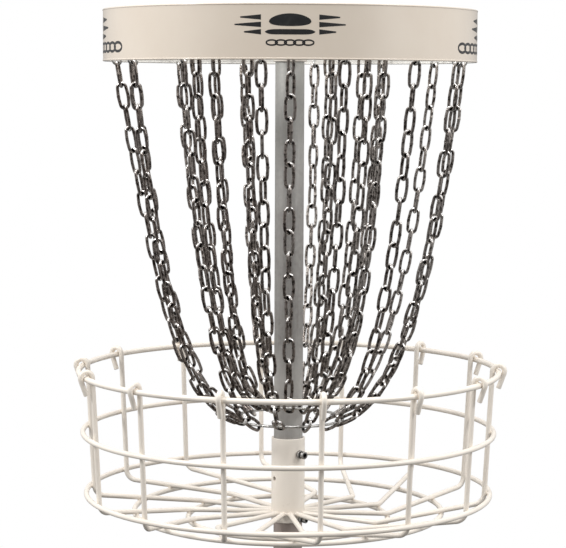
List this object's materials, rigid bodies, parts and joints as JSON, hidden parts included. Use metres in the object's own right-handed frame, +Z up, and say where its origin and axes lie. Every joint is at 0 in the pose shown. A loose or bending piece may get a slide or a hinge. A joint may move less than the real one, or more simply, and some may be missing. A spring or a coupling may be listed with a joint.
{
  "type": "disc golf basket",
  "caption": "Pole-mounted disc golf target: deflector band, two tiers of hanging chains gathered by rings round the pole, and an open welded wire tray below.",
  "frame": {"origin": "on the pole's axis at ground level", "axes": "+Z up along the pole, -Y towards the viewer of the front, +X to that viewer's right"},
  "size_m": [0.7276, 0.7212, 1.848],
  "materials": {
    "powder_coat": "white powder coat, satin",
    "band_coat": "off-white powder coat, smooth satin",
    "galvanised_steel": "hot-dip galvanised, dull with faint spangle",
    "chain_steel": "dark zinc plating, glossy",
    "bright_steel": "bright zinc plating",
    "black_plastic": "moulded, fine grain"
  },
  "bodies": {
    "ground_sleeve": {"ground_sleeve": "galvanised_steel"},
    "pole_assembly": {"pole": "galvanised_steel", "pole_cap": "black_plastic", "lock_collar": "galvanised_steel", "lock_collar_screw": "bright_steel", "basket_hub": "powder_coat", "hub_screw_upper": "bright_steel", "hub_screw_lower": "bright_steel", "rim_ring": "powder_coat", "middle_ring": "powder_coat", "lower_ring": "powder_coat", "floor_ring_outer": "powder_coat", "floor_ring_inner": "powder_coat", "basket_upright_01": "powder_coat", "basket_upright_02": "powder_coat", "basket_upright_03": "powder_coat", "basket_upright_04": "powder_coat", "basket_upright_05": "powder_coat", "basket_upright_06": "powder_coat", "basket_upright_07": "powder_coat", "basket_upright_08": "powder_coat", "basket_upright_09": "powder_coat", "basket_upright_10": "powder_coat", "basket_upright_11": "powder_coat", "basket_upright_12": "powder_coat", "basket_upright_13": "powder_coat", "basket_upright_14": "powder_coat", "deflector_band": "band_coat", "chain_rack": "powder_coat", "rack_screw": "bright_steel"},
    "outer_chain_ring": {"outer_chain_ring": "bright_steel"},
    "inner_chain_ring": {"inner_chain_ring": "bright_steel"},
    "outer_chain_01": {"outer_chain_01": "chain_steel"},
    "outer_chain_02": {"outer_chain_02": "chain_steel"},
    "outer_chain_03": {"outer_chain_03": "chain_steel"},
    "outer_chain_04": {"outer_chain_04": "chain_steel"},
    "outer_chain_05": {"outer_chain_05": "chain_steel"},
    "outer_chain_06": {"outer_chain_06": "chain_steel"},
    "outer_chain_07": {"outer_chain_07": "chain_steel"},
    "outer_chain_08": {"outer_chain_08": "chain_steel"},
    "outer_chain_09": {"outer_chain_09": "chain_steel"},
    "outer_chain_10": {"outer_chain_10": "chain_steel"},
    "outer_chain_11": {"outer_chain_11": "chain_steel"},
    "outer_chain_12": {"outer_chain_12": "chain_steel"},
    "outer_chain_13": {"outer_chain_13": "chain_steel"},
    "outer_chain_14": {"outer_chain_14": "chain_steel"},
    "inner_chain_01": {"inner_chain_01": "chain_steel"},
    "inner_chain_02": {"inner_chain_02": "chain_steel"},
    "inner_chain_03": {"inner_chain_03": "chain_steel"},
    "inner_chain_04": {"inner_chain_04": "chain_steel"},
    "inner_chain_05": {"inner_chain_05": "chain_steel"},
    "inner_chain_06": {"inner_chain_06": "chain_steel"},
    "inner_chain_07": {"inner_chain_07": "chain_steel"},
    "inner_chain_08": {"inner_chain_08": "chain_steel"},
    "inner_chain_09": {"inner_chain_09": "chain_steel"},
    "inner_chain_10": {"inner_chain_10": "chain_steel"},
    "inner_chain_11": {"inner_chain_11": "chain_steel"},
    "inner_chain_12": {"inner_chain_12": "chain_steel"},
    "inner_chain_13": {"inner_chain_13": "chain_steel"},
    "inner_chain_14": {"inner_chain_14": "chain_steel"}
  },
  "joints": [
    {"name": "pole_lift", "type": "slide", "parent": "ground_sleeve", "child": "pole_assembly", "axis": [0, 0, 1], "range_m": [0, 0.42]},
    {"name": "outer_ring_turn", "type": "hinge", "parent": "pole_assembly", "child": "outer_chain_ring", "pos_m": [0, 0, 0.736], "axis": [0, 0, 1], "range_deg": [-15, 15]},
    {"name": "outer_chain_01_swing", "type": "hinge", "parent": "pole_assembly", "child": "outer_chain_01", "pos_m": [0.08489, -0.27939, 1.369], "axis": [0.2907, -0.9568, 0], "range_deg": [-2.5, 2.5]},
    {"name": "outer_chain_02_swing", "type": "hinge", "parent": "pole_assembly", "child": "outer_chain_02", "pos_m": [0.1977, -0.21489, 1.369], "axis": [0.6771, -0.7359, 0], "range_deg": [-2.5, 2.5]},
    {"name": "outer_chain_03_swing", "type": "hinge", "parent": "pole_assembly", "child": "outer_chain_03", "pos_m": [0.27136, -0.10783, 1.369], "axis": [0.9293, -0.3693, 0], "range_deg": [-2.5, 2.5]},
    {"name": "outer_chain_04_swing", "type": "hinge", "parent": "pole_assembly", "child": "outer_chain_04", "pos_m": [0.29127, 0.02059, 1.369], "axis": [0.9975, 0.0705, 0], "range_deg": [-2.5, 2.5]},
    {"name": "outer_chain_05_swing", "type": "hinge", "parent": "pole_assembly", "child": "outer_chain_05", "pos_m": [0.2535, 0.14493, 1.369], "axis": [0.8681, 0.4963, 0], "range_deg": [-2.5, 2.5]},
    {"name": "outer_chain_06_swing", "type": "hinge", "parent": "pole_assembly", "child": "outer_chain_06", "pos_m": [0.16551, 0.24056, 1.369], "axis": [0.5668, 0.8238, 0], "range_deg": [-2.5, 2.5]},
    {"name": "outer_chain_07_swing", "type": "hinge", "parent": "pole_assembly", "child": "outer_chain_07", "pos_m": [0.04474, 0.28855, 1.369], "axis": [0.1532, 0.9882, 0], "range_deg": [-2.5, 2.5]},
    {"name": "outer_chain_08_swing", "type": "hinge", "parent": "pole_assembly", "child": "outer_chain_08", "pos_m": [-0.08489, 0.27939, 1.369], "axis": [-0.2907, 0.9568, 0], "range_deg": [-2.5, 2.5]},
    {"name": "outer_chain_09_swing", "type": "hinge", "parent": "pole_assembly", "child": "outer_chain_09", "pos_m": [-0.1977, 0.21489, 1.369], "axis": [-0.6771, 0.7359, 0], "range_deg": [-2.5, 2.5]},
    {"name": "outer_chain_10_swing", "type": "hinge", "parent": "pole_assembly", "child": "outer_chain_10", "pos_m": [-0.27136, 0.10783, 1.369], "axis": [-0.9293, 0.3693, 0], "range_deg": [-2.5, 2.5]},
    {"name": "outer_chain_11_swing", "type": "hinge", "parent": "pole_assembly", "child": "outer_chain_11", "pos_m": [-0.29127, -0.02059, 1.369], "axis": [-0.9975, -0.0705, 0], "range_deg": [-2.5, 2.5]},
    {"name": "outer_chain_12_swing", "type": "hinge", "parent": "pole_assembly", "child": "outer_chain_12", "pos_m": [-0.2535, -0.14493, 1.369], "axis": [-0.8681, -0.4963, 0], "range_deg": [-2.5, 2.5]},
    {"name": "outer_chain_13_swing", "type": "hinge", "parent": "pole_assembly", "child": "outer_chain_13", "pos_m": [-0.16551, -0.24056, 1.369], "axis": [-0.5668, -0.8238, 0], "range_deg": [-2.5, 2.5]},
    {"name": "outer_chain_14_swing", "type": "hinge", "parent": "pole_assembly", "child": "outer_chain_14", "pos_m": [-0.04474, -0.28855, 1.369], "axis": [-0.1532, -0.9882, 0], "range_deg": [-2.5, 2.5]},
    {"name": "inner_ring_turn", "type": "hinge", "parent": "pole_assembly", "child": "inner_chain_ring", "pos_m": [0, 0, 0.76], "axis": [0, 0, 1], "range_deg": [-15, 15]},
    {"name": "inner_chain_01_swing", "type": "hinge", "parent": "pole_assembly", "child": "inner_chain_01", "pos_m": [0.00228, -0.16298, 1.388], "axis": [0.014, -0.9999, 0], "range_deg": [-2.5, 2.5]},
    {"name": "inner_chain_02_swing", "type": "hinge", "parent": "pole_assembly", "child": "inner_chain_02", "pos_m": [0.07277, -0.14586, 1.388], "axis": [0.4464, -0.8948, 0], "range_deg": [-2.5, 2.5]},
    {"name": "inner_chain_03_swing", "type": "hinge", "parent": "pole_assembly", "child": "inner_chain_03", "pos_m": [0.12884, -0.09984, 1.388], "axis": [0.7905, -0.6125, 0], "range_deg": [-2.5, 2.5]},
    {"name": "inner_chain_04_swing", "type": "hinge", "parent": "pole_assembly", "child": "inner_chain_04", "pos_m": [0.1594, -0.03405, 1.388], "axis": [0.9779, -0.2089, 0], "range_deg": [-2.5, 2.5]},
    {"name": "inner_chain_05_swing", "type": "hinge", "parent": "pole_assembly", "child": "inner_chain_05", "pos_m": [0.15839, 0.03849, 1.388], "axis": [0.9717, 0.2361, 0], "range_deg": [-2.5, 2.5]},
    {"name": "inner_chain_06_swing", "type": "hinge", "parent": "pole_assembly", "child": "inner_chain_06", "pos_m": [0.12601, 0.1034, 1.388], "axis": [0.7731, 0.6343, 0], "range_deg": [-2.5, 2.5]},
    {"name": "inner_chain_07_swing", "type": "hinge", "parent": "pole_assembly", "child": "inner_chain_07", "pos_m": [0.06867, 0.14783, 1.388], "axis": [0.4213, 0.9069, 0], "range_deg": [-2.5, 2.5]},
    {"name": "inner_chain_08_swing", "type": "hinge", "parent": "pole_assembly", "child": "inner_chain_08", "pos_m": [-0.00228, 0.16298, 1.388], "axis": [-0.014, 0.9999, 0], "range_deg": [-2.5, 2.5]},
    {"name": "inner_chain_09_swing", "type": "hinge", "parent": "pole_assembly", "child": "inner_chain_09", "pos_m": [-0.07277, 0.14586, 1.388], "axis": [-0.4464, 0.8948, 0], "range_deg": [-2.5, 2.5]},
    {"name": "inner_chain_10_swing", "type": "hinge", "parent": "pole_assembly", "child": "inner_chain_10", "pos_m": [-0.12884, 0.09984, 1.388], "axis": [-0.7905, 0.6125, 0], "range_deg": [-2.5, 2.5]},
    {"name": "inner_chain_11_swing", "type": "hinge", "parent": "pole_assembly", "child": "inner_chain_11", "pos_m": [-0.1594, 0.03405, 1.388], "axis": [-0.9779, 0.2089, 0], "range_deg": [-2.5, 2.5]},
    {"name": "inner_chain_12_swing", "type": "hinge", "parent": "pole_assembly", "child": "inner_chain_12", "pos_m": [-0.15839, -0.03849, 1.388], "axis": [-0.9717, -0.2361, 0], "range_deg": [-2.5, 2.5]},
    {"name": "inner_chain_13_swing", "type": "hinge", "parent": "pole_assembly", "child": "inner_chain_13", "pos_m": [-0.12601, -0.1034, 1.388], "axis": [-0.7731, -0.6343, 0], "range_deg": [-2.5, 2.5]},
    {"name": "inner_chain_14_swing", "type": "hinge", "parent": "pole_assembly", "child": "inner_chain_14", "pos_m": [-0.06867, -0.14783, 1.388], "axis": [-0.4213, -0.9069, 0], "range_deg": [-2.5, 2.5]}
  ],
  "couplings": [
    {"joint": "outer_chain_01_swing", "follows": "outer_ring_turn", "ratio": 0.14534},
    {"joint": "outer_chain_02_swing", "follows": "outer_ring_turn", "ratio": 0.14534},
    {"joint": "outer_chain_03_swing", "follows": "outer_ring_turn", "ratio": 0.14534},
    {"joint": "outer_chain_04_swing", "follows": "outer_ring_turn", "ratio": 0.14534},
    {"joint": "outer_chain_05_swing", "follows": "outer_ring_turn", "ratio": 0.14534},
    {"joint": "outer_chain_06_swing", "follows": "outer_ring_turn", "ratio": 0.14534},
    {"joint": "outer_chain_07_swing", "follows": "outer_ring_turn", "ratio": 0.14534},
    {"joint": "outer_chain_08_swing", "follows": "outer_ring_turn", "ratio": 0.14534},
    {"joint": "outer_chain_09_swing", "follows": "outer_ring_turn", "ratio": 0.14534},
    {"joint": "outer_chain_10_swing", "follows": "outer_ring_turn", "ratio": 0.14534},
    {"joint": "outer_chain_11_swing", "follows": "outer_ring_turn", "ratio": 0.14534},
    {"joint": "outer_chain_12_swing", "follows": "outer_ring_turn", "ratio": 0.14534},
    {"joint": "outer_chain_13_swing", "follows": "outer_ring_turn", "ratio": 0.14534},
    {"joint": "outer_chain_14_swing", "follows": "outer_ring_turn", "ratio": 0.14534},
    {"joint": "inner_chain_01_swing", "follows": "inner_ring_turn", "ratio": 0.0836},
    {"joint": "inner_chain_02_swing", "follows": "inner_ring_turn", "ratio": 0.0836},
    {"joint": "inner_chain_03_swing", "follows": "inner_ring_turn", "ratio": 0.0836},
    {"joint": "inner_chain_04_swing", "follows": "inner_ring_turn", "ratio": 0.0836},
    {"joint": "inner_chain_05_swing", "follows": "inner_ring_turn", "ratio": 0.0836},
    {"joint": "inner_chain_06_swing", "follows": "inner_ring_turn", "ratio": 0.0836},
    {"joint": "inner_chain_07_swing", "follows": "inner_ring_turn", "ratio": 0.0836},
    {"joint": "inner_chain_08_swing", "follows": "inner_ring_turn", "ratio": 0.0836},
    {"joint": "inner_chain_09_swing", "follows": "inner_ring_turn", "ratio": 0.0836},
    {"joint": "inner_chain_10_swing", "follows": "inner_ring_turn", "ratio": 0.0836},
    {"joint": "inner_chain_11_swing", "follows": "inner_ring_turn", "ratio": 0.0836},
    {"joint": "inner_chain_12_swing", "follows": "inner_ring_turn", "ratio": 0.0836},
    {"joint": "inner_chain_13_swing", "follows": "inner_ring_turn", "ratio": 0.0836},
    {"joint": "inner_chain_14_swing", "follows": "inner_ring_turn", "ratio": 0.0836}
  ]
}
